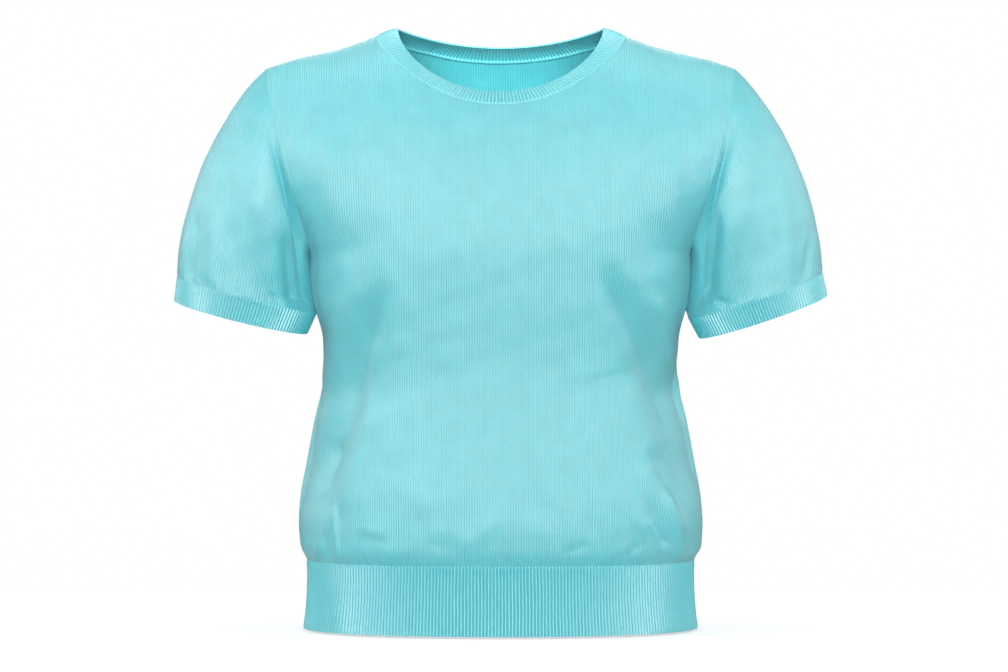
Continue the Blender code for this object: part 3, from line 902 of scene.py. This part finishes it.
def stitches(nodes, wale, course):
    """Height of plain knit, 0 to 1: rounded wales, each of two slanting legs for every course."""
    away = off_middle(nodes, wale)
    wale_round = nodes.arch(nodes.math("MULTIPLY", away, 2.0))
    leg = nodes.arch(nodes.math("MULTIPLY", nodes.math("SUBTRACT", away, LEG_AWAY), 1 / LEG_HALF_WIDTH))
    turn = nodes.math("FRACT", nodes.math("MULTIPLY_ADD", away, LEG_SLANT, course))
    up = nodes.arch(nodes.math("MULTIPLY_ADD", turn, 2.0, -1.0))
    leg = nodes.math("MULTIPLY", leg, nodes.math("MULTIPLY_ADD", up, LEG_SWELL, 1 - LEG_SWELL))
    return nodes.math("MULTIPLY_ADD", leg, LEG_SHARE, nodes.math("MULTIPLY", wale_round, 1 - LEG_SHARE))


def rib_groove_shade(nodes, wale, course):
    """How far a point is down in a groove between ribs, 0 to 1, fading in along the seam: the mask of the
    shade painted into the rib grooves.
    """
    groove = nodes.math("MULTIPLY", off_middle(nodes, wale), 2.0)
    groove = nodes.math("POWER", groove, RIB_GROOVE_SHADE_SHARPNESS)
    begun = nodes.math("MINIMUM", nodes.math("MAXIMUM", course, 0.0), 1.0)
    return nodes.math("MULTIPLY", groove, begun)


def knit_material(name, groove_shade_share, stitch_depth, ribbed):
    """A turquoise yarn in stitches with shade painted darker between them, under a soft whitish sheen and
    gloss.
    """
    material = bpy.data.materials.new(name)
    nodes = Nodes(material)
    wale, course = nodes.knit()
    height = stitches(nodes, wale, course)
    fibre = nodes.noise(FIBRE_SCALE)
    cloud = nodes.noise(CLOUD_SCALE)
    # Painted shade: the colour darkens towards the grooves between stitches by the groove's share; the
    # fibre and cloud noise add random tone.
    shade = nodes.math("MULTIPLY_ADD", height, groove_shade_share, 1.0 - groove_shade_share)
    for noise, share in ((fibre, FIBRE_SHADE), (cloud, CLOUD_SHADE)):
        shade = nodes.math("MULTIPLY_ADD", nodes.math("SUBTRACT", noise, 0.5), share, shade)
    colour = nodes.mix(shade, KNIT_GROOVE_SHADE_COLOUR, KNIT_COLOUR)
    # Painted shade in the grooves between ribs.
    if ribbed:
        colour = nodes.mix(rib_groove_shade(nodes, wale, course), colour, RIB_GROOVE_SHADE_COLOUR)
    normal = {}
    for relief, depth, strength in ((cloud, *CLOUD_BUMP), (fibre, *FIBRE_BUMP), (height, stitch_depth, 1)):
        inputs = {"Height": relief, "Distance": depth, "Strength": strength} | normal
        normal = {"Normal": nodes.add("Bump", inputs).outputs["Normal"]}
    nodes.fill(nodes.tree.nodes["Principled BSDF"], {"Base Color": colour} | normal | KNIT_FINISH)
    return material


def floor_material():
    """White paper that glows a little for the camera, so that it stays white up to its edge."""
    material = bpy.data.materials.new("floor_white")
    nodes = Nodes(material)
    is_camera = nodes.add("LightPath", {}).outputs["Is Camera Ray"]
    glow = nodes.math("MULTIPLY", is_camera, FLOOR_GLOW)
    nodes.fill(nodes.tree.nodes["Principled BSDF"], {"Emission Strength": glow} | FLOOR_FINISH)
    return material


# ---------------------------------------------------------------- pieces
def add_body(knit, rib):
    """The front and the back, with the hem band below each. Returns their outer and inner points."""
    walls = {}
    for name, facing, folds in (("front", -1, FRONT_FOLDS), ("back", 1, BACK_FOLDS)):
        outer, inner, gauge = Panel(facing, folds).walls()
        walls[name] = outer, inner
        off_seam = np.array([0, facing * SEAM_GAP / 2, 0])
        coarse = inner[:, ::COARSE_STEP]
        piece = add_shell(
            name + "_knit", name, outer + off_seam, coarse + off_seam, False, gauge, knit
        )
        add_hem(name, (outer[0], inner[0]), off_seam, rib)
    return walls


def add_hem(name, lines, off_seam, rib):
    """The hem band below a panel, from the panel's lowest outer and inner line."""
    flare = np.array([HEM_FLARE, HEM_FLARE, 0])
    seam, edge = [], []
    for line in lines:
        start = line + off_seam
        start[:, 2] = HEM_TOP - SEAM_GAP
        seam.append(start)
        edge.append(line * flare + off_seam + np.array([0, 0, HEM_BOTTOM]))
    band = ribbed_band(f"hem_{name}_rib", "hem_" + name, seam, edge, HEM_BAND, rib, HEM_FANS)


def add_neckband(walls, rib):
    """The neckband: one ring of rib from the neckline seam up to the neck opening."""
    first, last = SHOULDER_COLUMNS, SHOULDER_COLUMNS + 2 * NECK_COLUMNS
    loops = []
    for front, back in zip(walls["front"], walls["back"]):
        loops.append(np.vstack([front[-1, first:last], back[-1, last:first:-1]]))
    outer, inner = loops
    edge = outer.copy()
    edge[:, 0] = outer[:, 0] * EDGE_HALF_WIDTH / NECK_HALF_WIDTH
    share = np.abs(edge[:, 0]) / EDGE_HALF_WIDTH
    is_front = outer[:, 1] < 0
    edge[:, 1] = outer[:, 1] * np.where(is_front, FRONT_EDGE_REACH, BACK_EDGE_REACH)
    edge[:, 2] = -np.where(is_front, neck_curve(share, *FRONT_EDGE), neck_curve(share, *BACK_EDGE))
    rise = unit(edge - outer)
    tangent = unit(np.roll(outer, -1, axis=0) - np.roll(outer, 1, axis=0))
    out = unit(np.cross(rise, tangent))
    out *= np.sign(((outer - inner) * out).sum(axis=1))[:, None]
    seam = (outer + rise * SEAM_GAP, inner + rise * SEAM_GAP)
    band = ribbed_band("neckband_rib", "neckband", seam, (edge, edge - out * WALL), NECKBAND, rib)


def downward(side, slope):
    """Direction outwards and down at a slope in degrees below the horizontal."""
    return np.array([side * math.cos(math.radians(slope)), 0, -math.sin(math.radians(slope))])


def cuff_ring(side, ring, lean, angles):
    """Points of a tilted ring, from its outermost point round by the front, and their directions
    away from its middle."""
    out_x, height, half_width = ring
    middle = np.array([side * out_x, 0, height])
    across = downward(side, -lean)
    forward = np.array([0, -1, -CUFF_FRONT_DIP])
    cos, sin = np.cos(angles)[:, None], np.sin(angles)[:, None]
    points = middle + across * cos * half_width + forward * sin * CUFF_HALF_DEPTH
    out = unit(across * cos / half_width + forward * sin / CUFF_HALF_DEPTH)
    return points, out


def valley(z, away_top, away_cuff, normal):
    """Height of the valley in a sleeve beside its armhole seam."""
    depth = VALLEY_DEPTH * ease(VALLEY_START - z, VALLEY_START - VALLEY_FULL)
    depth = depth * ramp(np.abs(normal[..., 1]), VALLEY_FACING) * ramp(away_cuff, VALLEY_CUFF_FADE)
    return -depth * bell(away_top, VALLEY_AWAY, VALLEY_HALF_WIDTH) * ramp(away_top, JOIN_FADE)


def sleeve_relief(label, points, away_top, away_cuff, run, normal):
    """Height of a sleeve's folds, gathers, valley and slow unevenness at each point."""
    x, z = points[..., 0], points[..., 2]
    total = SLEEVE_SOFTNESS * soft_waves(x * SLEEVE_WAVE_FINENESS, z + SLEEVE_WAVE_SHIFT)
    for face, facing in (("front", -normal[..., 1]), ("back", normal[..., 1])):
        for fold in SLEEVE_FOLDS[f"{label} {face}"]:
            total += soft_fold(x, z, fold) * ramp(facing, FOLD_FACING)
    total *= ramp(away_top, SLEEVE_TOP_FADE) * ramp(away_cuff, SLEEVE_CUFF_FADE)
    total += SLEEVE_SOFTNESS * puckers(run, away_cuff, SLEEVE_PUCKER_SEED)
    return total + valley(z, away_top, away_cuff, normal) + seam_dip(away_top)


def armhole_seam(walls, side):
    """Outer and inner line of an armhole, from the shoulder down the front and up the back, and the
    angle round the cuff that each point leads to."""
    column = -1 if side > 0 else 0
    off_body = armhole_frame(side)[2] * SEAM_GAP
    lines = []
    for front, back in zip(walls["front"], walls["back"]):
        down_front = front[SIDE_ROWS:, column][::-1]
        up_back = back[SIDE_ROWS:, column][1:-1]
        lines.append(np.vstack([down_front, up_back]) + off_body)
    length = lengths_along(np.vstack([lines[0], lines[0][:1]]), 0)
    underarm = length[ARMHOLE_ROWS]
    front_share = length[: ARMHOLE_ROWS + 1] / underarm
    back_share = (length[ARMHOLE_ROWS:-1] - underarm) / (length[-1] - underarm)
    angles = math.pi * np.concatenate([front_share, 1 + back_share[1:]])
    return lines[0], lines[1], angles


def sleeve_form(side, seam_outer, seam_inner, top, lean, angles):
    """Points and outward directions of a smooth sleeve, a row for each step from seam to cuff."""
    ring, ring_out = cuff_ring(side, top, lean, angles)
    top_share = (1 + np.cos(angles))[:, None] / 2
    start = top_share * downward(side, CAP_SLOPE) + (1 - top_share) * downward(side, UNDERARM_SLOPE)
    start = unit(start)
    start[:, 1] -= SLEEVE_SWELL * np.sin(angles)
    end = unit(top_share * downward(side, 90) + (1 - top_share) * downward(side, 90 - lean))
    span = np.linalg.norm(ring - seam_outer, axis=1)[:, None] * SLEEVE_FULLNESS

    def points_at(share):
        return hermite(share, seam_outer, start * span, ring, end * span)

    points, normals = [seam_outer], [unit(seam_outer - seam_inner)]
    for row in range(1, SLEEVE_ROWS + 1):
        share = row / SLEEVE_ROWS
        here = points_at(share)
        round_step = np.roll(here, -1, axis=0) - np.roll(here, 1, axis=0)
        down_step = points_at(min(share + SLOPE_STEP, 1)) - points_at(share - SLOPE_STEP)
        points.append(here)
        normals.append(unit(np.cross(round_step, down_step)) * side)
    normals[-1] = ring_out
    return np.array(points), np.array(normals)


def add_sleeve(walls, label, side, top, edge, lean, knit, rib):
    """One set-in sleeve, from the armhole to the cuff, and its ribbed cuff."""
    seam_outer, seam_inner, angles = armhole_seam(walls, side)
    points, normals = sleeve_form(side, seam_outer, seam_inner, top, lean, angles)
    down = lengths_along(points, 0)
    run = lengths_along(points, 1)
    height = sleeve_relief(label, points, down, down[-1:] - down, run, normals)
    height[0] = height[-1] = 0
    outer = points + normals * height[..., None]
    inner = outer - normals * WALL
    inner[0] = seam_inner
    wales = np.broadcast_to(np.arange(len(angles)) * SLEEVE_WALES / len(angles), down.shape)
    gauge = np.stack([wales, down / COURSE], axis=-1)
    coarse = inner[:, ::COARSE_STEP]
    name = "sleeve_" + label
    piece = add_shell(name + "_knit", name, outer, coarse, True, gauge, knit)

    off_seam = downward(side, 90 - lean) * SEAM_GAP
    seam = (outer[-1] + off_seam, inner[-1] + off_seam)
    edge_line, edge_out = cuff_ring(side, edge, lean, angles)
    edges = (edge_line, edge_line - edge_out * WALL)
    band = ribbed_band(f"cuff_{label}_rib", "cuff_" + label, seam, edges, CUFF_BAND, rib)


# ---------------------------------------------------------------- studio
def add_camera():
    """A camera straight in front of the garment, at the photograph's scale."""
    data = bpy.data.cameras.new("camera")
    data.sensor_width = SENSOR
    data.lens = SENSOR * CAMERA_DISTANCE / (IMAGE_WIDTH * PIXEL)
    data.clip_end = 50
    camera = add_object("camera", data)
    camera.location = (CAMERA_X, -CAMERA_DISTANCE, CAMERA_Z)
    camera.rotation_euler = (math.radians(90), 0, 0)
    bpy.context.scene.camera = camera


def add_area_light(name, place, target, size, power, spread):
    data = bpy.data.lights.new(name, "AREA")
    data.shape = "RECTANGLE"
    data.size, data.size_y = size
    data.spread = math.radians(spread)
    place_light(data, place, target, power)


def add_neck_light():
    """A small spot light that reaches in through the neck opening."""
    data = bpy.data.lights.new("neck", "SPOT")
    data.spot_size = math.radians(NECK_LIGHT_ANGLE)
    data.spot_blend = NECK_LIGHT_BLEND
    data.shadow_soft_size = NECK_LIGHT_RADIUS
    place_light(data, NECK_LIGHT_PLACE, NECK_LIGHT_TARGET, NECK_LIGHT_POWER)


def place_light(data, place, target, power):
    """Puts a light at a place and points it at its target."""
    data.energy = power
    light = add_object(data.name, data)
    light.location = place
    toward = np.array(target, float) - np.array(place, float)
    yaw = math.atan2(-toward[0], toward[1])
    pitch = math.atan2(math.hypot(toward[0], toward[1]), -toward[2])
    light.rotation_euler = (pitch, 0, yaw)


def add_world():
    """Soft light from all round, in front of a white background."""
    world = bpy.data.worlds.new("studio")
    nodes = Nodes(world)
    around = nodes.fill(nodes.tree.nodes["Background"], {"Color": WHITE, "Strength": AMBIENT})
    behind = nodes.add("Background", {"Color": WHITE})
    is_camera = nodes.add("LightPath", {}).outputs["Is Camera Ray"]
    seen = nodes.add("MixShader", {0: is_camera, 1: around.outputs[0], 2: behind.outputs[0]})
    nodes.fill(nodes.tree.nodes["World Output"], {"Surface": seen.outputs[0]})
    bpy.context.scene.world = world


def add_floor():
    """A square of white floor just under the hem."""
    mesh = bpy.data.meshes.new("floor")
    corners = []
    for x, y in ((-1, -1), (1, -1), (1, 1), (-1, 1)):
        corners.append((x * FLOOR_REACH, y * FLOOR_REACH, FLOOR_HEIGHT))
    mesh.from_pydata(corners, [], [(0, 1, 2, 3)])
    mesh.materials.append(floor_material())
    floor = add_object("floor", mesh)


def add_studio():
    """The floor, white surroundings and large soft lights."""
    add_floor()
    add_world()
    for light in LIGHTS:
        add_area_light(*light)
    add_neck_light()
    bpy.context.scene.view_settings.view_transform = "Standard"


def main():
    knit = knit_material("plain_knit", groove_shade_share=0.42, stitch_depth=0.00034, ribbed=False)
    rib = knit_material("rib_knit", groove_shade_share=0.10, stitch_depth=0.0003, ribbed=True)
    walls = add_body(knit, rib)
    add_neckband(walls, rib)
    for sleeve in SLEEVES:
        add_sleeve(walls, *sleeve, knit, rib)
    add_studio()
    add_camera()


main()
